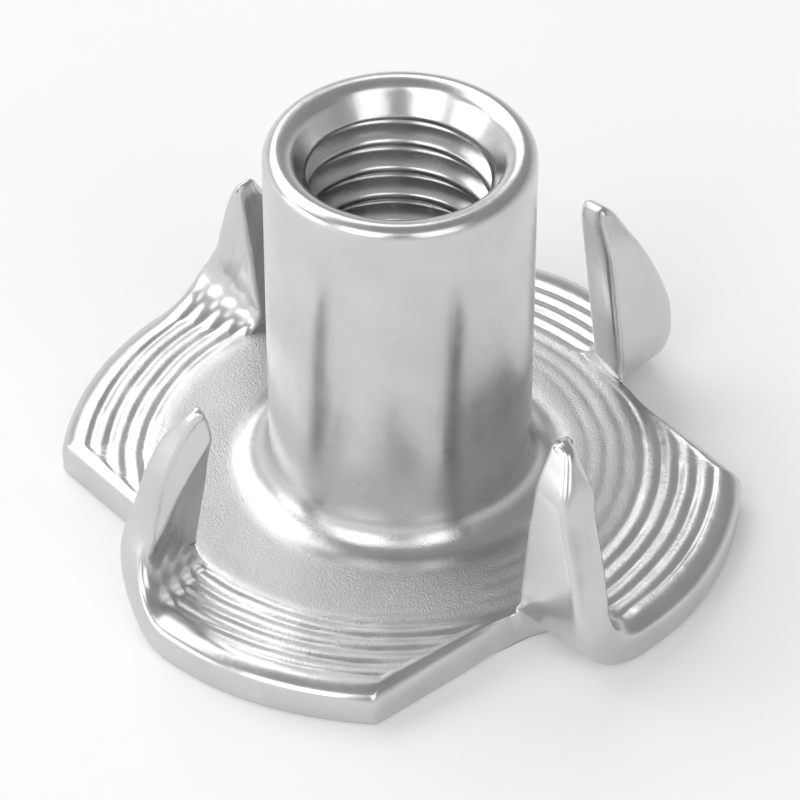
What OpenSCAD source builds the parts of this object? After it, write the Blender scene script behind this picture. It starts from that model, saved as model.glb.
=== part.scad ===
// Four-prong tee nut for wood: one stamped, deep-drawn and tapped piece.
// The flange lies on z = 0 with the threaded barrel standing up along +Z.
// Each lobe of the flange ends, on its clockwise side, in a prong: a half of
// the blank's rim segment, lanced free along a chord and folded upwards.

/* [Thread] */
// Nominal diameter of the metric thread
thread_d = 8; // [5:0.5:9]
// Pitch of the thread
thread_pitch = 1.25; // [0.8:0.05:1.5]
// Diameter of the countersink at the mouth of the barrel
countersink_d = 8.3; // [7:0.1:9]
// Depth of the countersink
countersink_h = 1.3; // [0.5:0.1:2.5]

/* [Barrel] */
// Outside diameter of the barrel
barrel_d = 10; // [9.5:0.1:12.5]
// Overall height, from the underside of the flange to the mouth
overall_h = 16.4; // [9:0.2:30]
// Rounding of the outer edge at the mouth
crown_r = 0.5; // [0.2:0.05:0.8]
// Fillet where the barrel rises out of the flange
foot_r = 1.2; // [0.9:0.1:1.6]
// Rounding of the drawn entry on the underside
entry_r = 2.2; // [0.8:0.1:2.4]

/* [Flange] */
// Diameter of the round blank
flange_d = 26.2; // [24:0.2:40]
// Thickness of the sheet
sheet_t = 1.6; // [1:0.1:2]
// Rounding of the blank's rim
rim_r = 0.45; // [0.1:0.05:0.45]
// How far the rim is drawn in where it runs into a fold
draw_in = 0.4; // [0:0.05:0.6]

/* [Prongs] */
// Number of prongs
prong_count = 4; // [3:1:4]
// Width of a prong at its root
prong_w = 3.6; // [2.6:0.1:4.4]
// Angle through which a prong is folded up
fold_angle = 96; // [80:1:100]
// Inside radius of the fold
fold_r = 0.8; // [0.3:0.1:1.2]
// Distance of the fold line from the radial line beside it
fold_offset = 0.2; // [0:0.1:0.8]
// Blend between the end of the slit and the underside of the fold
web_r = 1; // [0.3:0.1:1.2]
// Length of a prong, as a multiple of the length of sheet lanced for it
stretch = 1.07; // [1:0.01:1.12]
// Radius of the prong's outer edge above the fold
heel_r = 5; // [3:0.5:8]
// Angle through which that edge turns before it runs on to the tip
heel_turn = 15; // [8:1:18]
// Rounding of the prong's tip
tip_r = 0.6; // [0.3:0.05:0.9]
// Thickness left at the tip by the slant of the prong's outer face
tip_t = 0.9; // [0.5:0.1:1]
// Length of the slant
slant_h = 1.8; // [1:0.1:4]
// Width of the facet along the curved edge, on the inner face, at the tip
facet_w = 0.7; // [0.3:0.05:0.8]
// Direction of the first fold line, seen from above
first_fold = 40; // [0:1:90]

/* [Hidden] */
$fn = 96;

// Basic metric profile: the minor diameter is 1.0825 pitches under the nominal
MINOR_PER_PITCH = 1.0825;
// Share of the sheet's thickness at which its length stays the same in a fold
NEUTRAL = 0.33;
// Step that the folding die leaves in the outer edge, at each end of the heel
DIE_STEP = 0.04;
// Depth of the blend at a slit's end below the flange's upper face
WEB_DROP = 0.1;
// Overlap that carries a cut past a face
CUT = 1;

bore_r = (thread_d - MINOR_PER_PITCH * thread_pitch) / 2;
barrel_r = barrel_d / 2;
foot_out = barrel_r + foot_r;
flange_r = flange_d / 2;
countersink_r = countersink_d / 2;

// The slit is a chord of the blank. It meets the rim at slit_reach from the
// radial line beside the fold.
slit_x = flange_r - prong_w;
slit_reach = sqrt(flange_r * flange_r - slit_x * slit_x);

// Outer end of the fold, drawn in from the rim, and the fold's outside radius
root_x = flange_r - draw_in;
fold_out = fold_r + sheet_t;

// A lobe's rim is one arc from the fold to the next slit. Its centre lies on
// the fold line, so that it meets the fold squarely.
lobe_dir = 360 / prong_count - atan2(slit_reach, slit_x);
lobe_tip = flange_r * [cos(lobe_dir), sin(lobe_dir)];
lobe_y = lobe_tip.y - fold_offset;
lobe_c = (lobe_tip.x * lobe_tip.x + lobe_y * lobe_y - root_x * root_x) / (2 * (lobe_tip.x - root_x));
lobe_r = root_x - lobe_c;

// Length of sheet taken up by the fold, and what is left for the fin
fold_len = (fold_r + NEUTRAL * sheet_t) * fold_angle * PI / 180;
fin_len = stretch * (slit_reach + fold_offset - fold_len);
// How far the fin reaches back into the fold, inside the sheet on every side
root_lap = sheet_t / 4;

// The fin's outer edge leaves the fold squarely, as the heel's arc round
// [heel_c, 0], and runs on in the same direction from fin_start to the sharp
// tip [slit_x, fin_len], as a flatter arc round [fin_cx, fin_cy]
heel_c = root_x - DIE_STEP - heel_r;
heel_dir = [cos(heel_turn), sin(heel_turn)];
heel_mid = [heel_c, 0] + heel_r / 2 * heel_dir;
fin_start = [heel_c, 0] + (heel_r - DIE_STEP) * heel_dir;
to_tip = [slit_x, fin_len] - fin_start;
fin_r = -(to_tip * to_tip) / (2 * (to_tip * heel_dir));
fin_cx = fin_start.x - fin_r * heel_dir.x;
fin_cy = fin_start.y - fin_r * heel_dir.y;

// Centre of the tip's rounding, tangent to the slit edge and the curved edge
tip_cx = slit_x + tip_r;
tip_cy = fin_cy + sqrt(pow(fin_r - tip_r, 2) - pow(tip_cx - fin_cx, 2));
// Direction from the fin's centre through the tip's rounding
tip_dir = atan2(tip_cy - fin_cy, tip_cx - fin_cx);
tip_touch = [fin_cx + fin_r * cos(tip_dir), fin_cy + fin_r * sin(tip_dir)];

// Strip of sheet seen end on, from inner to outer, with its outer edge rounded
module edge_section(inner, outer) {
    difference() {
        translate([inner, 0])
            square([outer - inner, sheet_t]);
        for (side = [0, 1])
            translate([outer - rim_r, side * (sheet_t - rim_r)])
                square([rim_r + CUT, rim_r]);
    }
    for (side = [0, 1])
        translate([outer - rim_r, side * (sheet_t - 2 * rim_r) + rim_r])
            circle(rim_r);
}

// Half section of the barrel with its foot, drawn entry and countersink
module barrel_section() {
    difference() {
        union() {
            // wall and crown
            translate([bore_r, 0])
                square([barrel_r - bore_r, overall_h - crown_r]);
            translate([bore_r, 0])
                square([barrel_r - crown_r - bore_r, overall_h]);
            translate([barrel_r - crown_r, overall_h - crown_r])
                circle(crown_r);
            // root of the flange under the foot fillet
            translate([bore_r, 0])
                square([foot_out - bore_r, sheet_t]);
            // foot fillet
            difference() {
                translate([barrel_r - CUT / 2, sheet_t])
                    square([foot_r + CUT / 2, foot_r]);
                translate([foot_out, sheet_t + foot_r])
                    circle(foot_r);
            }
        }
        // countersink, carried on past the mouth at its own slope
        polygon([
            [bore_r - CUT, overall_h - countersink_h],
            [bore_r, overall_h - countersink_h],
            [2 * countersink_r - bore_r, overall_h + countersink_h],
            [bore_r - CUT, overall_h + countersink_h]
        ]);
        // drawn entry on the underside
        difference() {
            translate([bore_r - CUT, -CUT])
                square([entry_r + CUT, entry_r + CUT]);
            translate([bore_r + entry_r, entry_r])
                circle(entry_r);
        }
    }
}

module barrel() {
    rotate_extrude()
        barrel_section();
}

// One lobe, from its fold to the next, with its rim as one rounded arc
module lobe() {
    translate([lobe_c, fold_offset, 0])
        rotate_extrude(angle = 360 / prong_count)
            edge_section(lobe_r / 2, lobe_r);
}

// Round blank without the sheet that is folded up into prongs
module flange() {
    difference() {
        union() {
            rotate_extrude()
                translate([foot_out - CUT / 2, 0])
                    square([slit_x - foot_out + CUT / 2, sheet_t]);
            for (i = [0 : prong_count - 1])
                rotate([0, 0, first_fold + i * 360 / prong_count])
                    lobe();
        }
        for (i = [0 : prong_count - 1])
            rotate([0, 0, first_fold + i * 360 / prong_count])
                translate([slit_x, fold_offset - slit_reach - 2 * CUT, -CUT])
                    cube([prong_w + CUT, slit_reach + 2 * CUT, sheet_t + 2 * CUT]);
    }
}

// Outline of the fin: x from the nut's axis, y up from the fold. Its outer
// side is generous, because the rounded edge is made by fin_sheet.
module fin_outline() {
    difference() {
        translate([slit_x, 0])
            square([prong_w + CUT, fin_len]);
        // corner beyond the line through the tip's two tangent points
        polygon([
            [slit_x - CUT, tip_cy],
            [slit_x, tip_cy],
            tip_touch,
            tip_touch + [prong_w, 0],
            [slit_x + prong_w, 2 * fin_len],
            [slit_x - CUT, 2 * fin_len]
        ]);
    }
    translate([tip_cx, tip_cy])
        circle(tip_r);
}

// Flat sheet of the fin with its rounded outer edge in two arcs
module fin_sheet() {
    translate([heel_c, 0, 0])
        rotate_extrude(angle = heel_turn)
            edge_section(heel_r / 4, heel_r);
    translate([fin_cx, fin_cy, 0])
        rotate([0, 0, heel_turn])
            rotate_extrude(angle = tip_dir, $fn = 4 * $fn)
                edge_section(fin_r - prong_w, fin_r);
    linear_extrude(sheet_t)
        polygon([[slit_x, 0], [heel_c + heel_r / 2, 0], heel_mid, [slit_x, fin_len]]);
}

// Corner that the facet takes off, square to the direction of the tip's rounding
module facet_cut() {
    translate([fin_cx, fin_cy, 0])
        rotate([90, 0, tip_dir])
            translate([0, 0, -fin_len])
                linear_extrude(2 * fin_len)
                    polygon([
                        [fin_r - facet_w - CUT, -CUT],
                        [fin_r + CUT, -CUT],
                        [fin_r + CUT, facet_w + CUT]
                    ]);
}

// Fin with its inner face on z = 0, its outer face slanted to the tip and the
// facet between them
module fin() {
    difference() {
        fin_blank();
        facet_cut();
    }
}

// Fin before the facet is pressed
module fin_blank() {
    intersection() {
        fin_sheet();
        translate([0, 0, -CUT])
            linear_extrude(sheet_t + 2 * CUT)
                fin_outline();
        translate([slit_x - CUT, 0, 0])
            rotate([0, 90, 0])
                linear_extrude(prong_w + 2 * CUT)
                    polygon([
                        [CUT, -CUT],
                        [CUT, fin_len],
                        [-tip_t, fin_len],
                        [-sheet_t, fin_len - slant_h],
                        [-sheet_t - CUT, fin_len - slant_h],
                        [-sheet_t - CUT, -CUT]
                    ]);
    }
}

// Overlap of the fin and its fold
module fin_root() {
    translate([slit_x + root_lap, -root_lap, root_lap])
        cube([root_x - slit_x - 2 * root_lap, 2 * root_lap, sheet_t - 2 * root_lap]);
}

// Concave blend round the underside of the fold, on the slit's end
module web_section() {
    difference() {
        translate([fold_out - CUT, -slit_x - web_r])
            square([web_r + CUT, web_r + CUT / 2]);
        translate([fold_out + web_r, -slit_x - web_r])
            circle(web_r);
    }
}

// One prong: the fold round its own axis, then the fin on from its end
module prong() {
    translate([0, fold_offset, fold_out])
        rotate([0, 90, 180]) {
            rotate_extrude(angle = fold_angle)
                mirror([0, 1])
                    translate([fold_r, 0])
                        fold_section();
            rotate([0, 0, fold_angle])
                translate([fold_r, 0, 0])
                    rotate([0, 90, 0]) {
                        fin();
                        fin_root();
                    }
        }
    // the blend stays below the flange's upper face
    intersection() {
        translate([0, fold_offset, fold_out])
            rotate([0, 90, 180])
                rotate_extrude(angle = fold_angle)
                    web_section();
        translate([0, fold_offset - 2 * fold_out - web_r, 0])
            cube([flange_r, 2 * fold_out + web_r, sheet_t - WEB_DROP]);
    }
}

// Strip of sheet that is bent by the fold: x across its thickness, y outwards
module fold_section() {
    translate([sheet_t, 0])
        rotate(90)
            edge_section(slit_x, root_x);
}

module tee_nut() {
    color("silver")
        union() {
            barrel();
            flange();
            for (i = [0 : prong_count - 1])
                rotate([0, 0, first_fold + i * 360 / prong_count])
                    prong();
        }
}

tee_nut();
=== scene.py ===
"""Looks of a four-prong tee nut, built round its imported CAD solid.

Lengths are in millimetres until the mesh is made. A prong and a lobe are worked
out in the frame of a prong: u runs out along its fold, v across it and z up.
"""

import math

import bmesh
import bpy
import numpy as np
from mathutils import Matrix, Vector


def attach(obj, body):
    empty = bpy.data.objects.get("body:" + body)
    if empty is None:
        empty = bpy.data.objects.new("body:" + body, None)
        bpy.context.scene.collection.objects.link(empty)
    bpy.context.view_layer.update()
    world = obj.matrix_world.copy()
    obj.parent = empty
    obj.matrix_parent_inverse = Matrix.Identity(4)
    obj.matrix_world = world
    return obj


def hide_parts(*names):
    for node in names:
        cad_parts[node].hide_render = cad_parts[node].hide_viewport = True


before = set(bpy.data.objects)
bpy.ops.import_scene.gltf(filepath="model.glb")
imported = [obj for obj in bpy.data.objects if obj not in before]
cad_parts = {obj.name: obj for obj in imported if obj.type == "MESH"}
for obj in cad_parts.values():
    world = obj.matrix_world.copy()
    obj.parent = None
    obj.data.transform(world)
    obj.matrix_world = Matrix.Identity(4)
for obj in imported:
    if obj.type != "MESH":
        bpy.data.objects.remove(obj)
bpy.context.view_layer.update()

MM = 0.001
WELD, SLIVER = 4e-7, 1e-8  # metres within which points are one, and edges none

# ---------------------------------------------------------------- sizes, mm
SHEET = 1.6  # thickness of the flange
HEIGHT = 16.4  # underside of the flange to the mouth
BARREL_R = 5.0
FOOT_R = 1.2  # fillet between barrel and flange
FOOT_OUT, FOOT_TOP = BARREL_R + FOOT_R, SHEET + FOOT_R
CROWN_R = 0.5  # outer edge of the mouth
LIP_R, LIP_TURN = 0.75, 54  # its inner edge: radius and degrees of the rounding
LIP_OUT = BARREL_R - CROWN_R - 0.02  # and where that starts
SINK_R, SINK_H = 4.15, 1.3  # countersink
ENTRY_R = 2.2  # drawn entry on the underside
RIM = 13.08  # radius of the blank
SLIT = 9.42  # distance of a slit from the thread axis
FOLD_V = 0.2  # fold line at the slit, beside the radial line of its prong
FOLD_IN = 0.8  # inside radius of the fold at the slit
FOLD_Z = SHEET + FOLD_IN
WEB = 1.0  # blend at the end of a slit
WEB_FADE = (52, 82)  # degrees round the fold between which it dies out
FIRST_FOLD = 40.0  # direction of the first prong, in degrees
PRONGS = 4
TURN = 360 / PRONGS

# Thread
PITCH = 1.25
MAJOR_R, BORE_R = 4.02, 4.0 - 1.0825 * PITCH / 2
FLANK = (0.14, 0.80)  # its ends, from the groove's floor at 0 to the crest at 1
FLANK_SWELL = 0.04  # S-shape of a flank, which rounds both ends
FORMED_UNDER_LIP = (0.55, 1.25)  # depths at which the thread starts and is whole
RUN_OUT = (1.6, 2.6)  # heights at which it ends, and is whole, over the entry
THREAD_Z = 0.9  # height at which the stations along the helix end

# Corners of the sheet. A pair is an inset and a depth.
ROLL = (0.85, 0.4)  # upper corner of the rim, rolled over by the blanking die
SLIT_ROLL = ((0.5, 0.75), (0.15, 0.15))  # the same at a slit's ends, rim and fold
SLIT_FADE = (0.75, 1.0)  # shares of a slit between which its corners die out
LOW_ROUND, SLIT_LOW = 0.3, 0.2  # lower corner of the rim and of a slit
EDGE_ROUND = 0.32  # corners of a prong's outer edge
FACET_ROUND = 0.18  # the same, beside a facet
SHEAR_TOP, SHEAR_LOW = 0.15, 0.28  # corners of a prong's sheared edge
SHEAR_TURN = (40, 12)  # degrees of the fold over which these two form
TIP_ROUND = 0.25
CORNER, CORNER_IN = 0.3, 0.12  # between a lobe's rim and slit, and inside the roll
# Degrees over which the rim is drawn in to the fold, and turns to face along it
RIM_DRAWN, RIM_FACES = 16, 6

# Runs along a prong's sheet
ROLL_RUN = 5.5  # from the fold: the rim's roll becomes the edge's rounding
TIP_RUN = 1.2  # from the tip: all corners take the tip's rounding
THIN_RUN, THIN_PAST = 2.1, 0.3  # the sheet thins from here to past the tip
MIN_THICK = 0.6  # left under a facet
FACET_SOFT = 0.03  # softness of the line where a facet ends
FACET_FORMS = 0.15  # depth at which a facet is fully formed
FACET_CORNER = 0.3  # depth at which the corner beside it has its own rounding
TIP_SIDE = 0.42  # place of the tip between the sheared and the outer edge
CONE_END = 0.6  # share of a fin above which the fold's cone no longer shows

# ---------------------------------------------------------------- mesh stations
K = 10  # across an edge, and up the end of a slit
TOP_K, LOW_K = 4, 3  # of them, those round its upper and its lower corner
N_RIM, N_CORNER, N_CHORD = 26, 5, 19  # along a lobe's rim, corner and slit
N_EDGE = N_RIM + N_CORNER
N_CHANGE = 5  # the last of the rim's, where its roll starts to become the slit's
AROUND = PRONGS * (N_EDGE + N_CHORD + K)
ROOT_ROWS = 30  # across the inner face of a prong
NECK_ROWS = 36  # on from the end of the slit to the foot of the barrel
ROWS = ROOT_ROWS + NECK_ROWS
N_BEND, N_FIN = 9, 36  # rows of a prong's fold above the flange, and of its fin
TIP_ROWS = 12  # the last of them, where the slope of the outer edge counts as constant
OUT_COLS = 18  # across the outer face of a prong
CROWD, RIM_CROWD = 1.35, 1.12  # powers by which rows and columns crowd together
SETTLE = (0.55, 0.97)  # shares of a slit between which they move to the fold's heights
N_UNDER = 8  # across the underside
LOW_RING, LOW_JOIN = 5.95, 0.985  # its inner ring, and the entry's share of that
LOW_FOLD = 12.0  # distance at which a fold line's direction is taken for that ring
N_FOOT, N_BARREL, N_CROWN, N_LIP = 12, 14, 8, 8  # up the barrel, to the countersink
N_ENTRY, N_ENTRY_FLAT = 8, 4  # down the drawn entry, and out on the underside
THREAD_ROWS = 12  # a turn
THREAD_GAP = 0.25  # of a row, the least between the last of them and an end
FOLD_SAMPLES, FOLD_MARGIN = 400, 0.5  # of a fold line, and past its ends in mm

# Each prong was folded by itself, so no two are quite alike.
# lean: angle of the fold. fold: its inside radius at the outer edge. tip:
# height. crown, square: height and squareness of the tip's rounding. thin: how
# much of the sheet's thickness is lost at the tip. outer, slit: distance of the
# outer and of the sheared edge from the thread axis, at heights. facet: depth of
# the facet pressed along the outer edge, at heights.
PRONG = [
    dict(
        lean=98.5, fold=1.5, tip=9.1, crown=0.8, square=2.3, thin=0.4,
        outer=[
            (0, 12.72), (1.2, 12.42), (2.4, 12.3), (3.8, 12.3), (4.7, 12.1),
            (5.8, 11.67), (6.9, 11.12), (8.0, 10.5), (9.4, 9.85),
        ],
        slit=[(0, SLIT), (3, 9.36), (9.5, 9.22)],
        facet=[(6.5, 0), (7.5, 0.2), (9.4, 0.35)],
    ),
    dict(
        lean=97.0, fold=2.5, tip=9.0, crown=0.8, square=2.0, thin=0.75,
        outer=[
            (0, 12.9), (2.0, 12.78), (3.0, 12.55), (4.0, 12.33), (4.9, 12.0),
            (6.1, 11.3), (7.35, 10.72), (8.65, 10.1), (9.3, 9.8),
        ],
        slit=[(0, SLIT), (3, 9.38), (9.5, 9.35)],
        facet=[(6.5, 0), (7.5, 0.2), (9.3, 0.28)],
    ),
    dict(
        lean=100.8, fold=2.0, tip=9.0, crown=0.85, square=2.2, thin=0.6,
        outer=[
            (0, 12.88), (1.0, 12.5), (2.4, 12.15), (3.4, 11.9), (4.2, 11.65),
            (5.1, 11.38), (6.2, 11.02), (7.1, 10.62), (8.1, 10.1), (9.0, 9.75),
        ],
        slit=[(0, SLIT), (3, 9.3), (9.5, 9.15)],
        facet=[(3.0, 0), (4.0, 0.12), (5.0, 0.36), (6.5, 0.62), (8.2, 0.7), (9.2, 0.7)],
    ),
    dict(
        lean=97.5, fold=1.3, tip=8.95, crown=0.55, square=3.0, thin=0.6,
        outer=[
            (0, 12.95), (1.5, 12.9), (2.8, 12.75), (4.2, 12.3), (5.2, 11.85),
            (6.5, 11.25), (7.6, 10.9), (8.4, 10.5), (9.3, 10.0),
        ],
        slit=[(0, SLIT), (3, 9.27), (9.5, 9.25)],
        facet=[(6.5, 0), (7.6, 0.3), (8.4, 0.65), (9.2, 0.8)],
    ),
]

# ---------------------------------------------------------------- relief
# The flange is pressed with fine ridges in circles about a point near the
# thread axis. On a prong they bend up and follow its outer edge.
rng = np.random.default_rng(7)
WAVES = [
    (int(n), rng.uniform(0, 2 * math.pi), rng.uniform(0.4, 1))
    for n in (3, 5, 8, 13, 21, 34)
]
WAVES_SUM = 2.5  # brings their sum to within about -1 to 1
RIDGE_CENTRE = (-0.23, 0.23)
RIDGE_R = 12.33  # outermost groove
RIDGE_PITCH = 0.69
RIDGE_WANDER = 0.03
RIDGE_DEPTH = 0.07
DEPTH_MEAN, DEPTH_VARIES = 0.9, 0.25  # of that
DEPTH_RATE, GROOVE_SHIFT = 1.7, 2.1  # how that runs along a groove, and to the next
GROOVE_POWER = 1.5  # narrows the grooves and widens the ridges
RIDGE_STOP = (0.15, 0.4)  # past the outermost groove they die out
# Radius at which the ridges end inside, at angles round the nut, and their fade
RIDGE_END = (
    (-60, 7.0), (20, 7.0), (60, 7.6), (120, 8.6),
    (200, 8.9), (235, 8.7), (290, 8.7), (300, 7.0),
)
RIDGE_FADE = 0.7
SLIT_CLEAR = (0.3, 0.6)  # bare strip along a slit
SLIT_CLEAR_END = 1.2  # which fades over the last of it
SLIT_END_CLEAR = (0.03, 0.3)  # bare spot at the very end of a slit
EDGE_CLEAR = 0.2  # run from a lobe's edge over which the ridges reach full depth

FIN_FIRST, FIN_PITCH = 0.97, 0.75  # grooves of a prong, from its outer edge
FIN_CLEAR = (0.45, 0.7)  # bare strip along that edge
FIN_TURN = 4.0  # way up a prong over which the ridges turn to follow it
FIN_LOSS, FIN_LOSS_RUN = 0.6, 2.0  # strength they lose there, and over what way
FIN_DRIFT = 0.08  # how fast their depth varies on the way up
FIN_SHEARED = 0.9  # share of the inner face past which they fade, to the sheared edge
FIN_FACET = 0.04  # depth of the facet at which none is left

# The metal between the ridges and the foot of the barrel is sandy.
FOOT_GRAIN, FOOT_GRAIN_TOP = 0.15, 5.5  # its strength on the foot, and up to where
RIDGE_GRAIN = 0.15  # strength among the ridges
GRAIN_START, GRAIN_STOP = (6.3, 7.0), (8.7, 9.6)  # radii between which it changes
RIDGE_GRAIN_STOP = (12.0, 12.6)


# ---------------------------------------------------------------- helpers
def smooth(x, lo, hi):
    """0 up to lo and 1 from hi, with a smooth step between."""
    t = np.clip((np.asarray(x, float) - lo) / (hi - lo), 0, 1)
    return t * t * (3 - 2 * t)


def blend(a, b, t):
    """a where t is 0, b where it is 1."""
    return a + (b - a) * t


def polar(r, angle):
    return np.stack([r * np.cos(angle), r * np.sin(angle)], -1)


def flat(points):
    """Points of a plane, at height 0."""
    return np.pad(points, ((0, 0), (0, 1)))


def curve(points, x):
    """Smooth interpolation through (x, y) points, without overshoot."""
    px, py = np.array(points, float).T
    step = np.diff(px)
    slope = np.diff(py) / step
    m = np.zeros(len(px))
    m[0], m[-1] = slope[0], slope[-1]
    for i in range(1, len(px) - 1):
        if slope[i - 1] * slope[i] > 0:
            w1, w2 = 2 * step[i] + step[i - 1], step[i] + 2 * step[i - 1]
            m[i] = (w1 + w2) / (w1 / slope[i - 1] + w2 / slope[i])
    x = np.clip(np.asarray(x, float), px[0], px[-1])
    i = np.clip(np.searchsorted(px, x) - 1, 0, len(step) - 1)
    t = (x - px[i]) / step[i]
    return (
        (1 + 2 * t) * (1 - t) ** 2 * py[i]
        + t * (1 - t) ** 2 * step[i] * m[i]
        + t * t * (3 - 2 * t) * py[i + 1]
        + t * t * (t - 1) * step[i] * m[i + 1]
    )


def spin(points, degrees):
    """Points turned about the thread axis."""
    angle = math.radians(degrees)
    c, s = math.cos(angle), math.sin(angle)
    x, y, z = np.moveaxis(np.asarray(points, float), -1, 0)
    return np.stack([x * c - y * s, x * s + y * c, z], -1)


def turn(k, points):
    """From the frame of prong k to the nut's."""
    return spin(points, FIRST_FOLD + TURN * k)


class Skin:
    """Grids of points that are welded into one mesh."""

    def __init__(self):
        self.points, self.faces, self.masks, self.count = [], [], [], 0

    def add(self, points, mask=0.0):
        """Adds points, and returns the index of the first."""
        points = np.asarray(points, float).reshape(-1, 3)
        start = self.count
        self.points.append(points)
        self.masks.append(np.broadcast_to(np.ravel(mask), len(points)))
        self.count += len(points)
        return start

    def face(self, corners, flip):
        self.faces.append(corners[::-1] if flip else corners)

    def grid(self, points, flip=False, mask=0.0):
        """Quads on an array of rows x columns x 3."""
        rows, cols = points.shape[:2]
        start = self.add(points, mask)
        for i in range(rows - 1):
            for j in range(cols - 1):
                at = start + i * cols + j
                self.face([at, at + 1, at + cols + 1, at + cols], flip)

    def bridge(self, line_a, line_b, flip=False):
        """Triangles between two lines of points with different counts."""
        start_a, start_b = self.add(line_a), self.add(line_b)
        last_a, last_b = len(line_a) - 1, len(line_b) - 1
        i = j = 0
        while i < last_a or j < last_b:
            if i == last_a:
                on_a = False
            elif j == last_b:
                on_a = True
            else:
                step_a = np.linalg.norm(line_a[i + 1] - line_b[j])
                on_a = step_a <= np.linalg.norm(line_a[i] - line_b[j + 1])
            a, b = start_a + i, start_b + j
            self.face([a, a + 1, b] if on_a else [a, b + 1, b], flip)
            i, j = (i + 1, j) if on_a else (i, j + 1)


skin = Skin()


# ---------------------------------------------------------------- ridges
def wander(x):
    """Slow variation along a ridge, within about -1 to 1."""
    return sum(a * np.sin(n * x + p) for n, p, a in WAVES) / WAVES_SUM


def groove(phase, along):
    """Depth of the pressed grooves, which lie where the phase is whole."""
    wave = 0.5 + 0.5 * np.cos(2 * math.pi * phase)
    own = wander(along * DEPTH_RATE + np.floor(phase + 0.5) * GROOVE_SHIFT)
    return RIDGE_DEPTH * wave**GROOVE_POWER * (DEPTH_MEAN + DEPTH_VARIES * own)


def flange_phase(points):
    """Phase and strength of the ridges, and the angle along them, in the nut's frame."""
    x, y = points[..., 0] - RIDGE_CENTRE[0], points[..., 1] - RIDGE_CENTRE[1]
    r, angle = np.hypot(x, y), np.arctan2(y, x)
    phase = (RIDGE_R - r + RIDGE_WANDER * wander(angle)) / RIDGE_PITCH
    at, end = np.array(RIDGE_END).T
    inner = np.interp(np.degrees(angle), at, end, period=360)
    strength = 1 - smooth(r, RIDGE_R + RIDGE_STOP[0], RIDGE_R + RIDGE_STOP[1])
    strength = strength * smooth(r - inner, 0, RIDGE_FADE)
    for k in range(PRONGS):
        end = turn(k, np.array([SLIT, FOLD_V, 0]))
        away = np.hypot(points[..., 0] - end[0], points[..., 1] - end[1])
        strength = strength * smooth(away, *SLIT_END_CLEAR)
    return phase, strength, angle


# ---------------------------------------------------------------- prongs
# A place on a prong is given by the angle round its fold and by t, which is 0 in
# the fold and runs to 1 from the fold's end to the tip.
def direction(angle):
    """From the fold's axis outward, as (v, z)."""
    return np.array([-math.sin(angle), -math.cos(angle)])


def tangent(angle):
    """Along the sheet towards the tip, as (v, z)."""
    return np.array([-math.cos(angle), math.sin(angle)])


def fold_radius(p, u):
    """The fold is a cone: it is tightest at the slit."""
    out = np.clip((u - SLIT) / (p["outer"][0][1] - SLIT), 0, 1)
    return blend(FOLD_IN, p["fold"], out)


def set_back(p, u):
    """How far the fold reaches, along the flange and up the fin, past its tightest end."""
    return (fold_radius(p, u) - FOLD_IN) * math.tan(math.radians(p["lean"]) / 2)


def climb(p, u, t):
    """Straight run above the fold's tightest end."""
    return p["length"] * t + set_back(p, u) * (1 - smooth(t, 0, CONE_END))


def web_at(u, angle):
    """How far the blend at the slit's end stands out from the fold."""
    x = np.clip(u - SLIT, 0, WEB)
    fade = 1 - smooth(angle, *(math.radians(d) for d in WEB_FADE))
    return (WEB - math.sqrt(max(WEB**2 - (WEB - x) ** 2, 0))) * float(fade)


def slit_top():
    """Angle at which the fold's outer face passes the flange's upper face, at the slit."""
    lo, hi = math.radians(50), math.radians(89)  # it lies between, and is bisected
    for _ in range(50):
        angle = (lo + hi) / 2
        z = FOLD_Z - (FOLD_IN + SHEET + web_at(SLIT, angle)) * math.cos(angle)
        lo, hi = (angle, hi) if z < SHEET else (lo, angle)
    return angle


A_TOP = slit_top()


def first_angle(p, u):
    """Angle at which the fold's outer face leaves the underside."""
    z = SHEET + fold_radius(p, u)
    return math.acos(min(1.0, z / (z + web_at(u, 0.0))))


def prong_rows(p):
    """Angle and t of each row of stations. Sets the length of the prong's fin."""
    lean = math.radians(p["lean"])
    angles = [*np.linspace(0, A_TOP, K + 1), *np.linspace(A_TOP, lean, N_BEND + 1)[1:]]
    foot = FOLD_Z - FOLD_IN * math.cos(lean)
    p["length"] = (p["tip"] - foot) / math.sin(lean)
    t = 1 - (1 - np.linspace(0, 1, N_FIN + 1)[1:]) ** CROWD
    return np.array(angles + [lean] * N_FIN), np.array([0.0] * len(angles) + list(t))


def edge_line(p, u, a, t):
    """Height and length along the sheet of the rows' ends, at an edge that starts at u."""
    r, lean = fold_radius(p, u), math.radians(p["lean"])
    run = climb(p, u, t)
    mid = SHEET / 2
    bent = SHEET + r - (r + mid) * np.cos(a) - mid * np.maximum(np.cos(a), 0)
    straight = FOLD_Z - (FOLD_IN + mid) * math.cos(lean) + run * math.sin(lean)
    way = (r + mid) * a + np.where(t > 0, run - set_back(p, u), 0)
    return np.where(t > 0, straight, bent), way


def outward(u, way, sign):
    """Directions across an edge, in the sheet, at each row."""
    du, dw = np.gradient(u), np.gradient(way)
    n = np.stack([sign * dw, -sign * du], -1)
    return n / np.linalg.norm(n, axis=1)[:, None]


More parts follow.
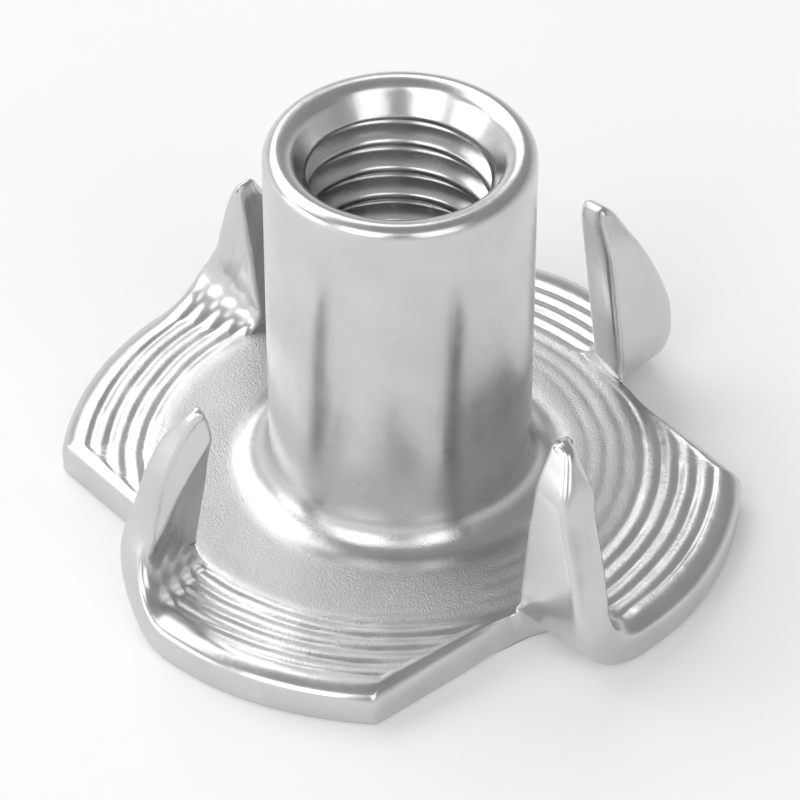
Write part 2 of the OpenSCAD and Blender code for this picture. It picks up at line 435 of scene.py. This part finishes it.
def prong_outline(p, a, t):
    """Sheared and outer edge of each row, the outer before the tip's rounding, their
    outward directions, and the outer edge's length along the sheet and height."""
    z_left, way_left = edge_line(p, SLIT, a, t)
    z, way = edge_line(p, p["outer"][0][1], a, t)
    left, right = curve(p["slit"], z_left), curve(p["outer"], z)
    left[: K + 1] = SLIT
    bare = right.copy()
    near = np.clip((p["crown"] - p["length"] * (1 - t)) / p["crown"], 0, 1)
    keep = np.clip(1 - near ** p["square"], 0, 1) ** (1 / p["square"])
    centre = blend(left, right, TIP_SIDE)
    left, right = blend(centre, left, keep), blend(centre, right, keep)
    out_left, out_right = outward(left, way_left, -1.0), outward(right, way, 1.0)
    out_left[: K + 1] = (-1, 0)
    out_right[0] = (1, 0)
    out_left[-1] = out_right[-1] = (0, 1)
    left[-1] = right[-1] = centre[-1]
    return left, right, bare, out_left, out_right, way, z


def station(p, u, side, depth, angle, t):
    """Point of a prong: side is a step along the sheet, depth from the inner face."""
    if t > 0:
        axis, r, side = (FOLD_V, FOLD_Z), FOLD_IN, climb(p, u, t) + side
    else:
        r = fold_radius(p, u)
        axis = (FOLD_V + set_back(p, u), SHEET + r)
    v, z = np.array(axis) + (r + depth) * direction(angle) + side * tangent(angle)
    return np.array([u, v, z])


def edge_profile(start, end, top, low):
    """Insets and depths of the K + 1 stations round an edge, from depth start to end,
    whose upper and lower corner each have an inset and a depth."""
    profile = []
    for b in np.linspace(0, math.pi / 2, TOP_K + 1):
        profile.append((top[0] * (1 - math.sin(b)), start + top[1] * (1 - math.cos(b))))
    straight = K - TOP_K - LOW_K
    for i in range(1, straight):
        profile.append((0.0, blend(start + top[1], end - low[1], i / straight)))
    for b in np.linspace(0, math.pi / 2, LOW_K + 1):
        profile.append((low[0] * (1 - math.cos(b)), end - low[1] * (1 - math.sin(b))))
    return profile


def build_prong(k, p):
    """Adds prong k to the skin, and returns its grids in its own frame."""
    a, t = prong_rows(p)
    left, right, bare, out_left, out_right, way, z = prong_outline(p, a, t)
    rows, total = len(a), way[-1]
    tipped = smooth(way, total - TIP_RUN, total)
    up = smooth(way, 0, ROLL_RUN)
    thick = SHEET - p["thin"] * smooth(way, total - THIN_RUN, total + THIN_PAST)
    facet = curve(p["facet"], z)

    def corner(size):
        """Size of a corner at each row, given what it is below the tip."""
        return blend(size, TIP_ROUND, tipped)

    top_turn, low_turn = (math.radians(d) for d in SHEAR_TURN)
    shear_top = corner(SHEAR_TOP * smooth(a, 0, top_turn))
    shear_low = corner(SHEAR_LOW * smooth(a, A_TOP, A_TOP + low_turn))
    low_round = corner(blend(LOW_ROUND, EDGE_ROUND, up))
    faceted = smooth(facet, 0, FACET_CORNER) * (1 - tipped)
    roll_in, roll_deep = (
        blend(corner(blend(size, EDGE_ROUND, up)), FACET_ROUND, faceted) for size in ROLL
    )

    # the ridges where the prong leaves the flange
    f = np.arange(ROOT_ROWS + 1) / ROOT_ROWS
    u_root = blend(right[0] - roll_in[0], SLIT, f)
    root = np.array([station(p, u, 0, 0, 0, 0) for u in u_root])
    root_phase, root_strength, root_angle = flange_phase(turn(k, root))
    # whole number of grooves between those of the flange and of the prong
    skipped = np.round(np.mean(root_phase - (right[0] - u_root - FIN_FIRST) / FIN_PITCH))

    def ridges(i, inward, sink):
        """Depth of the grooves across row i, by the distance from the outer edge."""
        turned = float(smooth(way[i], 0, FIN_TURN))
        phase = blend(root_phase, (inward - FIN_FIRST) / FIN_PITCH + skipped, turned)
        strength = root_strength * (1 - turned) + turned * smooth(inward, *FIN_CLEAR)
        strength = strength * (1 - FIN_LOSS * float(smooth(way[i], 0, FIN_LOSS_RUN)))
        if i > 0:  # none beside the sheared edge, at the tip or on the facet
            strength = strength * (1 - smooth(f, FIN_SHEARED, 1.0)) * (1 - tipped[i])
            strength = strength * (1 - smooth(sink, 0, FIN_FACET))
        return groove(phase, root_angle - FIN_DRIFT * way[i]) * strength

    def edge_row(i, u_edge, out, profile):
        """Stations round an edge."""
        row = []
        for inset, depth in profile:
            u, side = np.array([u_edge, 0]) - inset * out
            row.append(station(p, u, side, depth, a[i], t[i]))
        return row

    def sheared_row(i, sink):
        """Sheared edge: above the flange from face to face, and lower down to the flange."""
        if i > K:
            end = thick[i] + web_at(left[i], a[i])
            corners = ((shear_top[i],) * 2, (shear_low[i],) * 2)
            return edge_row(i, left[i], out_left[i], edge_profile(sink, end, *corners))
        if i < K:
            far = np.array([SLIT, FOLD_V - FOLD_IN * math.tan(a[i]), SHEET])
        else:
            far = station(p, SLIT, 0, SHEET + web_at(SLIT, a[i]), a[i], 0)
        size = shear_top[i]
        wall = station(p, SLIT, 0, size, a[i], 0)
        row = []
        for j in range(TOP_K):
            b = math.pi / 2 * j / TOP_K
            depth = min(size * (1 - math.cos(b)), np.linalg.norm(far - wall))
            row.append(station(p, SLIT + size * (1 - math.sin(b)), 0, depth, a[i], 0))
        return row + [blend(wall, far, j / (K - TOP_K)) for j in range(K - TOP_K + 1)]

    def outer_row(i):
        """Outer face, from the sheared edge to the outer edge."""
        start = np.array([left[i], 0]) - shear_low[i] * out_left[i]
        end = np.array([right[i], 0]) - low_round[i] * out_right[i]
        row = []
        for j in range(OUT_COLS + 1):
            u, side = blend(start, end, (j / OUT_COLS) ** CROWD)
            angle = blend(first_angle(p, u), A_TOP, i / K) if i <= K else a[i]
            row.append(station(p, u, side, thick[i] + web_at(u, angle), angle, t[i]))
        return row

    inner, outer, rim, slit = [], [], [], []
    for i in range(rows):
        start = np.array([right[i], 0]) - roll_in[i] * out_right[i]
        end = np.array([left[i], 0]) - shear_top[i] * out_left[i]
        places = start + (end - start) * f[:, None]
        inward = (bare[i] - places[:, 0]) * abs(out_right[min(i, rows - TIP_ROWS)][0])
        cut = facet[i] - inward
        sink = 0.5 * (cut + np.sqrt(cut**2 + FACET_SOFT**2))
        sink = np.clip(sink, 0, max(thick[i] - MIN_THICK, 0)) * smooth(facet[i], 0, FACET_FORMS)
        depths = sink + ridges(i, inward, sink)
        inner.append([station(p, *place, d, a[i], t[i]) for place, d in zip(places, depths)])
        corners = ((roll_in[i], roll_deep[i]), (low_round[i],) * 2)
        profile = edge_profile(sink[0], thick[i], *corners)
        rim.append(edge_row(i, right[i], out_right[i], profile))
        slit.append(sheared_row(i, sink[-1]))
        outer.append(outer_row(i))
    inner, outer, rim, slit = (np.array(grid) for grid in (inner, outer, rim, slit))
    # neighbours share their stations
    rim[:, 0] = inner[:, 0]
    outer[:, -1] = rim[:, -1]
    outer[K:, 0] = slit[K:, -1]
    inner[1:, -1] = slit[1:, 0]
    inner[-1, :] = rim[-1, 0]
    outer[-1, :] = rim[-1, -1]
    slit[-1] = rim[-1]
    slit[0, :] = inner[0, -1]
    for grid, flip in ((inner, True), (outer, True), (rim, False), (slit, True)):
        skin.grid(turn(k, grid), flip)
    return dict(inner=inner, outer=outer, rim=rim, slit=slit)


prong_grids = [build_prong(k, p) for k, p in enumerate(PRONG)]


# ---------------------------------------------------------------- flange
# Lobe k lies between the fold of prong k and the slit of prong k + 1, and is
# worked out in the frame of prong k + 1.
def fold_angle(p, r):
    """Direction of the fold line of a prong, in its frame, at a distance from the axis."""
    u = np.linspace(FOOT_OUT - FOLD_MARGIN, RIM + FOLD_MARGIN, FOLD_SAMPLES)
    v = FOLD_V + set_back(p, u)
    return np.interp(r, np.hypot(u, v), np.arctan2(v, u))


def lobe_line(fold, inset_rim, inset_slit, corner):
    """Line from the fold round the rim to the start of the slit, inset from both.

    fold is where it starts, in the frame of prong k. Returns the stations, their
    outward directions and the v at which the slit's straight starts.
    """
    start = math.atan2(fold[1], fold[0])
    u_corner = SLIT - inset_slit - corner
    v_corner = -math.sqrt((RIM - inset_rim - corner) ** 2 - u_corner**2)
    rim_end = math.atan2(v_corner, u_corner)
    f = 1 - (1 - np.arange(N_RIM + 1) / N_RIM) ** RIM_CROWD
    angle = blend(start, rim_end + math.radians(TURN), f)
    past = np.degrees(angle - start)
    r = blend(math.hypot(fold[0], fold[1]), RIM - inset_rim, smooth(past, 0, RIM_DRAWN))
    facing = angle * smooth(past, 0, RIM_FACES)
    line = list(polar(r, angle - math.radians(TURN)))
    out = list(polar(1.0, facing - math.radians(TURN)))
    for i in range(1, N_CORNER + 1):
        n = polar(1.0, rim_end * (1 - i / N_CORNER))
        line.append(np.array([u_corner, v_corner]) + corner * n)
        out.append(n)
    return np.array(line), np.array(out), v_corner


def lobe_edge(k):
    """Grid of the edge of lobe k, from its fold round the rim and along its slit."""
    here, other = prong_grids[k], prong_grids[(k + 1) % PRONGS]
    root = PRONG[k]["outer"][0][1]
    fold = (root, FOLD_V + float(set_back(PRONG[k], root)))
    line, out, v_line = lobe_line(fold, 0, 0, CORNER)
    inside = lobe_line(here["inner"][0, 0][:2], ROLL[0], SLIT_ROLL[0][0], CORNER_IN)
    # along the slit, whose upper and lower edge end at different places
    v_top, v_low = other["outer"][K, 0][1], other["outer"][0, 0][1]
    f = np.arange(1, N_CHORD + 1) / N_CHORD
    fade = 1 - smooth(f, *SLIT_FADE)
    slit_in, slit_deep = (blend(*sizes, f) * fade for sizes in zip(*SLIT_ROLL))

    def with_slit(stations, u, v_start, v_end):
        v = blend(v_start, v_end, f)
        return np.vstack([stations, np.stack([np.broadcast_to(u, len(f)), v], -1)])

    top_line = with_slit(line, SLIT, v_line, v_top)
    low_line = with_slit(line, SLIT, v_line, v_low)
    in_line = with_slit(inside[0], SLIT - slit_in, inside[2], v_top)
    out = np.vstack([out, np.tile([1.0, 0.0], (N_CHORD, 1))])
    to_slit = smooth(np.arange(N_EDGE + 1), N_RIM - N_CHANGE, N_EDGE)
    deep = np.concatenate([blend(ROLL[1], SLIT_ROLL[0][1], to_slit), slit_deep])
    low = np.concatenate([blend(LOW_ROUND, SLIT_LOW, to_slit), SLIT_LOW * fade])
    # towards the slit's end the stations move to the heights at which the fold has its own
    end_depth = SHEET - other["outer"][: K + 1, 0, 2][::-1]
    settle = np.concatenate([np.zeros(N_EDGE + 1), smooth(f, *SETTLE)])
    edge = np.zeros((N_EDGE + N_CHORD + 1, K + 1, 3))
    for i in range(len(edge)):
        # the upper corner's inset is a share of the way to the inner line
        profile = edge_profile(0.0, SHEET, (1.0, deep[i]), (low[i], low[i]))
        for j, (inset, depth) in enumerate(profile):
            depth = blend(depth, end_depth[j], settle[i])
            q = blend(top_line[i], low_line[i], depth / SHEET)
            if j <= TOP_K:
                q = q + (in_line[i] - top_line[i]) * inset
            else:
                q = q - inset * out[i]
            edge[i, j] = (q[0], q[1], SHEET - depth)
    edge[-1] = other["outer"][: K + 1, 0][::-1]
    edge[0] = spin(here["rim"][0], -TURN)
    return edge


def lobe_face(k, edge):
    """Grid of the upper face of lobe k, in columns from its edge to the barrel's foot,
    and the strength of the grain on it."""
    here, other = prong_grids[k], prong_grids[(k + 1) % PRONGS]
    boundary = np.vstack([edge[:, 0], other["slit"][: K + 1, -1][::-1][1:]])
    n = len(boundary) - 1
    r_edge = np.hypot(boundary[:, 0], boundary[:, 1])

    def limits(r):
        """Directions of the lobe's two ends at a distance from the axis."""
        return fold_angle(PRONG[k], r) - math.radians(TURN), np.arcsin(FOLD_V / r)

    lo, hi = limits(r_edge)
    share = (np.arctan2(boundary[:, 1], boundary[:, 0]) - lo) / (hi - lo)
    share[0], share[-1] = 0, 1
    face = np.zeros((n + 1, ROWS + 1, 3))
    even = np.arange(ROWS + 1) / ROWS
    late = np.clip((np.arange(ROWS + 1) - ROOT_ROWS) / NECK_ROWS, 0, 1)
    for i in range(n + 1):
        # towards the slit's end the stations crowd together, to meet the next lobe's
        s = blend(even, late, max(i - N_EDGE, 0) / (n - N_EDGE))
        r = blend(r_edge[i], FOOT_OUT, s)
        w = blend(i / n, share[i], smooth(r, FOOT_OUT, SLIT - 0.1))
        face[i, :, :2] = polar(r, blend(*limits(r), w))
    neck = np.linspace(SLIT, math.sqrt(FOOT_OUT**2 - FOLD_V**2), NECK_ROWS + 1)
    neck = np.stack([neck, np.full(NECK_ROWS + 1, FOLD_V)], -1)
    face[-1, :ROOT_ROWS, :2] = neck[0]
    face[-1, ROOT_ROWS:, :2] = neck
    face[0, ROOT_ROWS:, :2] = spin(flat(neck), -TURN)[:, :2]
    face[1:, 0, :2] = boundary[1:, :2]

    phase, strength, angle = flange_phase(turn(k + 1, face))
    beside = 1 - smooth(face[..., 1], -SLIT_CLEAR_END, 0.0)
    bare = 1 - smooth(SLIT - face[..., 0], *SLIT_CLEAR)
    depth = groove(phase, angle) * (strength * (1 - beside * bare))
    from_edge = np.linalg.norm(face[1:-1, :, :2] - boundary[1:-1, None, :2], axis=-1)
    depth[1:-1] *= smooth(from_edge, 0, EDGE_CLEAR)
    face[..., 2] = SHEET - depth
    face[0, : ROOT_ROWS + 1] = spin(here["inner"][0], -TURN)
    face[1:-1, 0, 2] = SHEET

    r = np.hypot(face[..., 0], face[..., 1])
    grain = blend(1, RIDGE_GRAIN * (1 - smooth(r, *RIDGE_GRAIN_STOP)), smooth(r, *GRAIN_STOP))
    return face, grain * blend(FOOT_GRAIN, 1, smooth(r, *GRAIN_START))


edges = []
for k in range(PRONGS):
    edges.append(lobe_edge(k))
    face, grain = lobe_face(k, edges[k])
    skin.grid(turn(k + 1, edges[k]), flip=True)
    skin.grid(turn(k + 1, face), mask=grain)

# underside, down to a ring round the drawn entry
low_ring = []
for k in range(PRONGS):
    fold = prong_grids[(k + 1) % PRONGS]["outer"][0][1:]
    boundary = np.vstack([edges[k][:, -1], fold])
    n = len(boundary)
    even = math.atan2(FOLD_V, LOW_FOLD) - math.radians(TURN) * (1 - np.arange(n) / (n - 1))
    ring = flat(polar(LOW_RING, even))
    across = (np.arange(N_UNDER + 1) / N_UNDER)[:, None, None]
    under = blend(boundary[None], ring[None], across)
    under[..., 2] = 0
    skin.grid(turn(k + 1, under))
    low_ring.append(turn(k + 1, ring)[:-1])
low_ring = np.vstack(low_ring + [low_ring[0][:1]])

# ---------------------------------------------------------------- barrel
start = math.radians(FIRST_FOLD) + math.atan2(FOLD_V, FOOT_OUT)
angles = start + 2 * math.pi * np.arange(AROUND + 1) / AROUND


def lathe(profile, mask=0.0):
    """Grid on a list of (radius, height), with a strength of the grain for each."""
    r, z = np.array(profile, float).T[..., None]
    x, y = r * np.cos(angles), r * np.sin(angles)
    grid = np.stack([x, y, np.repeat(z, len(angles), 1)], -1)
    skin.grid(grid, mask=np.repeat(mask, len(angles)) if np.ndim(mask) else mask)
    return grid


def arc(turned, steps):
    """Sine, and one less the cosine, of the steps of an arc."""
    for i in range(steps + 1):
        b = turned * i / steps
        yield math.sin(b), 1 - math.cos(b)


outside = [(FOOT_OUT - FOOT_R * s, SHEET + FOOT_R * c) for s, c in arc(math.pi / 2, N_FOOT)]
for z in np.linspace(FOOT_TOP, HEIGHT - CROWN_R, N_BARREL + 1)[1:]:
    outside.append((BARREL_R, z))
for s, c in list(arc(math.pi / 2, N_CROWN))[1:]:
    outside.append((BARREL_R - CROWN_R * c, HEIGHT - CROWN_R * (1 - s)))
for s, c in arc(math.radians(LIP_TURN), N_LIP):
    outside.append((LIP_OUT - LIP_R * s, HEIGHT - LIP_R * c))
heights = np.array(outside)[:, 1]
lathe(outside, mask=FOOT_GRAIN * (1 - smooth(heights, FOOT_TOP, FOOT_GRAIN_TOP)))
LIP_IN, LIP_Z = outside[-1]


def sink_radius(z):
    """Radius of the countersink at a height."""
    return LIP_IN - (LIP_Z - z) / (SINK_H / (SINK_R - BORE_R))


def entry_radius(z):
    """Radius of the drawn entry at a height."""
    d = np.clip(ENTRY_R - z, 0, ENTRY_R)
    return float(BORE_R + ENTRY_R - np.sqrt(np.clip(ENTRY_R**2 - d**2, 0, None)))


def thread_radius(z, angle):
    """Right-handed internal thread, cut by the countersink and the drawn entry."""
    turns = z / PITCH - angle / (2 * math.pi)
    x = np.abs(turns - np.floor(turns) - 0.5) * 2  # 0 at the groove's floor, 1 at the crest
    flank = np.clip((x - FLANK[0]) / (FLANK[1] - FLANK[0]), 0, 1)
    flank = flank + FLANK_SWELL * np.sin(2 * math.pi * flank)
    r = MAJOR_R + (BORE_R - MAJOR_R) * flank
    r = BORE_R + (r - BORE_R) * smooth(LIP_Z - z, *FORMED_UNDER_LIP)
    r = np.maximum(r, sink_radius(z))
    return max(float(BORE_R + (r - BORE_R) * smooth(z, *RUN_OUT)), entry_radius(z))


def thread_column(angle):
    """Points up the thread at an angle, by their number along the helix, so that crests
    are clean lines, and the column's lower and upper end."""
    step = PITCH / THREAD_ROWS
    shift = PITCH * (angle - angles[0]) / (2 * math.pi)

    def point(r, z):
        return r * math.cos(angle), r * math.sin(angle), z

    column = {}
    first = math.floor((THREAD_Z - shift) / step)
    last = math.ceil((LIP_Z - shift) / step)
    for j in range(first, last + 1):
        z = shift + j * step
        if THREAD_Z + THREAD_GAP * step < z < LIP_Z - THREAD_GAP * step:
            column[j] = point(thread_radius(z, angle), z)
    return column, point(entry_radius(THREAD_Z), THREAD_Z), point(LIP_IN, LIP_Z)


columns = [thread_column(angle) for angle in angles]
for pair in zip(columns, columns[1:]):
    index, low_end, high_end = [], [], []
    for column, low, high in pair:
        first = skin.add([low, *column.values(), high])
        index.append({j: first + 1 + n for n, j in enumerate(column)})
        low_end.append(first)
        high_end.append(first + 1 + len(column))
    a, b = index
    common = sorted(set(a) & set(b))
    for j0, j1 in zip(common, common[1:]):
        skin.face([a[j0], b[j0], b[j1], a[j1]], flip=True)
    # the ends, where one column can hold more points than the other
    a_low, b_low = ([side[j] for j in side if j <= common[0]] for side in index)
    a_high, b_high = ([side[j] for j in side if j >= common[-1]] for side in index)
    skin.face(low_end + b_low + a_low[::-1], flip=True)
    skin.face(a_high + high_end + b_high[::-1], flip=False)

entry = [(entry_radius(z), z) for z in np.linspace(THREAD_Z, 0, N_ENTRY + 1)[:-1]]
for b in np.linspace(0, 1, N_ENTRY_FLAT + 1):
    entry.append((entry_radius(0.0) * (1 - b) + LOW_RING * LOW_JOIN * b, 0.0))
skin.bridge(lathe(entry)[-1], low_ring, flip=True)

# ---------------------------------------------------------------- mesh
mesh = bpy.data.meshes.new("tee_nut_steel")
mesh.from_pydata((np.vstack(skin.points) * MM).tolist(), [], skin.faces)
bm = bmesh.new()
bm.from_mesh(mesh)
layer = bm.verts.layers.float.new("grain")
for vertex, strength in zip(bm.verts, np.concatenate(skin.masks)):
    vertex[layer] = strength
bmesh.ops.remove_doubles(bm, verts=bm.verts, dist=WELD)
bmesh.ops.dissolve_degenerate(bm, edges=bm.edges, dist=SLIVER)
bmesh.ops.recalc_face_normals(bm, faces=bm.faces)
bm.to_mesh(mesh)
bm.free()
for polygon in mesh.polygons:
    polygon.use_smooth = True
nut = bpy.data.objects.new("tee_nut_steel", mesh)
bpy.context.scene.collection.objects.link(nut)


# ---------------------------------------------------------------- materials
class Nodes:
    """Short way to write a node tree."""

    def __init__(self, owner):
        owner.use_nodes = True
        self.tree = owner.node_tree
        self.tree.nodes.clear()

    def add(self, kind, inputs, **settings):
        """A new node, whose inputs are set or, given another node's output, linked."""
        node = self.tree.nodes.new("ShaderNode" + kind)
        for name, value in settings.items():
            setattr(node, name, value)
        for name, value in inputs.items():
            if isinstance(value, bpy.types.NodeSocket):
                self.tree.links.new(value, node.inputs[name])
            else:
                node.inputs[name].default_value = value
        return node

    def math(self, operation, *inputs):
        return self.add("Math", dict(enumerate(inputs)), operation=operation).outputs[0]

    def remap(self, value, *limits):
        """The value, brought from between two limits to between two others."""
        return self.add("MapRange", dict(enumerate((value, *limits)))).outputs[0]


def steel():
    material = bpy.data.materials.new("bright_steel")
    nodes = Nodes(material)
    place = nodes.add("TexCoord", {}).outputs["Object"]
    grain = nodes.add("Attribute", {}, attribute_name="grain").outputs["Fac"]

    def noise(scale, detail, vector=place, rough=0.5):
        inputs = {"Vector": vector, "Scale": scale, "Detail": detail, "Roughness": rough}
        return nodes.add("TexNoise", inputs).outputs["Fac"]

    def bump(height, strength, distance, under=None):
        inputs = {"Height": height, "Strength": strength, "Distance": distance}
        if under:
            inputs["Normal"] = under
        return nodes.add("Bump", inputs).outputs[0]

    tint = {
        "Factor": nodes.remap(noise(450, 4), 0.2, 0.8, -0.3, 1.3),
        "A": (0.60, 0.60, 0.605, 1),
        "B": (0.66, 0.66, 0.663, 1),
    }
    colour = nodes.add("Mix", tint, data_type="RGBA").outputs["Result"]
    rough = nodes.remap(noise(700, 4), 0.1, 0.9, 0.16, 0.32)
    rough = nodes.math("MULTIPLY_ADD", grain, 0.12, rough)
    # sandy grain by its mask, a fine texture everywhere, and lines up the barrel
    sand = nodes.math("MULTIPLY", noise(13500, 2.0, rough=0.7), grain)
    drawn = nodes.add("Mapping", {"Vector": place, "Scale": (1, 1, 0.05)}).outputs[0]
    relief = bump(sand, 0.8, 0.00007)
    relief = bump(noise(2600, 5), 0.12, 0.00003, relief)
    relief = bump(noise(1500, 2.0, drawn), 0.15, 0.00004, relief)
    inputs = {"Base Color": colour, "Metallic": 1.0, "Roughness": rough, "Normal": relief}
    shader = nodes.add("BsdfPrincipled", inputs).outputs[0]
    nodes.add("OutputMaterial", {"Surface": shader})
    return material


mesh.materials.append(steel())
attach(nut, "root")
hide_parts("tee_nut")

# ---------------------------------------------------------------- floor
FLOOR_R, FLOOR_SIDES = 0.32, 128  # metres
FLOOR_LIFT = 0.07  # what the floor adds to reach white where it is seen


def paper():
    material = bpy.data.materials.new("paper")
    nodes = Nodes(material)
    inputs = {
        "Base Color": (0.9, 0.9, 0.9, 1), "Roughness": 0.9, "Specular IOR Level": 0.1,
    }
    shader = nodes.add("BsdfPrincipled", inputs).outputs[0]
    ray = nodes.add("LightPath", {}).outputs
    seen = nodes.math("MAXIMUM", ray["Is Camera Ray"], ray["Is Glossy Ray"])
    seen = nodes.math("MAXIMUM", seen, ray["Is Transmission Ray"])
    lift = nodes.math("MULTIPLY", seen, FLOOR_LIFT)
    glow = nodes.add("Emission", {"Strength": lift}).outputs[0]
    both = nodes.add("AddShader", {0: shader, 1: glow}).outputs[0]
    nodes.add("OutputMaterial", {"Surface": both})
    return material


floor_mesh = bpy.data.meshes.new("floor")
disc = flat(FLOOR_R * polar(1.0, 2 * math.pi * np.arange(FLOOR_SIDES) / FLOOR_SIDES))
floor_mesh.from_pydata(disc.tolist(), [], [tuple(range(FLOOR_SIDES))])
floor_mesh.materials.append(paper())
floor = bpy.data.objects.new("floor", floor_mesh)
bpy.context.scene.collection.objects.link(floor)

# ---------------------------------------------------------------- light
# Grey of the sky by the sine of the elevation
SKY = (
    (0.0, 0.90), (0.18, 0.85), (0.33, 0.60), (0.47, 0.40),
    (0.64, 0.45), (0.85, 0.42), (1.0, 0.36),
)
BRIGHT_SIDE = (-0.95, 0.1, 0)  # the sky is a little brighter towards here
SIDES = (0.75, 1.2)  # its strength on the dim and on the bright side
LAMP_AIM = Vector((0, 0, 0.006))


def studio():
    world = bpy.data.worlds.new("studio")
    bpy.context.scene.world = world
    nodes = Nodes(world)
    way = nodes.add("TexCoord", {}).outputs["Generated"]
    height = nodes.add("SeparateXYZ", {0: way}).outputs["Z"]
    sky = nodes.add("ValToRGB", {0: height})
    stops = sky.color_ramp.elements
    stops[0].position, stops[1].position = SKY[0][0], SKY[-1][0]
    for at, _ in SKY[1:-1]:
        stops.new(at)
    for stop, (_, grey) in zip(stops, SKY):
        stop.color = (grey, grey, grey * 1.01, 1)
    side = nodes.add("VectorMath", {0: way, 1: BRIGHT_SIDE}, operation="DOT_PRODUCT")
    strength = nodes.remap(side.outputs["Value"], -1, 1, *SIDES)
    shader = nodes.add("Background", {0: sky.outputs[0], 1: strength}).outputs[0]
    nodes.add("OutputWorld", {0: shader})


def softbox(name, azimuth, elevation, distance, size, radiance):
    """Lamp that faces the nut; azimuth 0 is at the right and 90 behind it."""
    light = bpy.data.lights.new(name, "AREA")
    light.shape = "RECTANGLE"
    light.size, light.size_y = size
    light.energy = radiance * math.pi * size[0] * size[1]
    lamp = bpy.data.objects.new(name, light)
    bpy.context.scene.collection.objects.link(lamp)
    a, e = math.radians(azimuth), math.radians(elevation)
    way = Vector((math.cos(a) * math.cos(e), math.sin(a) * math.cos(e), math.sin(e)))
    lamp.location = LAMP_AIM + way * distance
    lamp.rotation_euler = (-way).to_track_quat("-Z", "Y").to_euler()


studio()
softbox("left_back", 132, 47, 0.42, (0.48, 0.26), 2.1)
softbox("left", 190, 20, 0.40, (0.26, 0.16), 2.0)
softbox("front_left", 238, 38, 0.45, (0.26, 0.30), 1.9)
softbox("front_right", 302, 36, 0.45, (0.24, 0.30), 1.5)

# ---------------------------------------------------------------- camera
ELEVATION = math.radians(39.9)
DISTANCE = 0.155
PIVOT = Vector((0, 0, 0.007))
AIM_DOWN = 0.00195  # brings the nut to its place in the picture

camera_data = bpy.data.cameras.new("camera")
camera_data.sensor_width = 36
camera_data.lens = 186
camera_data.clip_start, camera_data.clip_end = 0.01, 10
camera = bpy.data.objects.new("camera", camera_data)
bpy.context.scene.collection.objects.link(camera)
back = Vector((0, -math.cos(ELEVATION), math.sin(ELEVATION)))
up = Vector((0, math.sin(ELEVATION), math.cos(ELEVATION)))
camera.location = PIVOT + back * DISTANCE
aim = PIVOT - up * AIM_DOWN
camera.rotation_euler = (aim - camera.location).to_track_quat("-Z", "Y").to_euler()
bpy.context.scene.camera = camera
bpy.context.scene.view_settings.view_transform = "Standard"
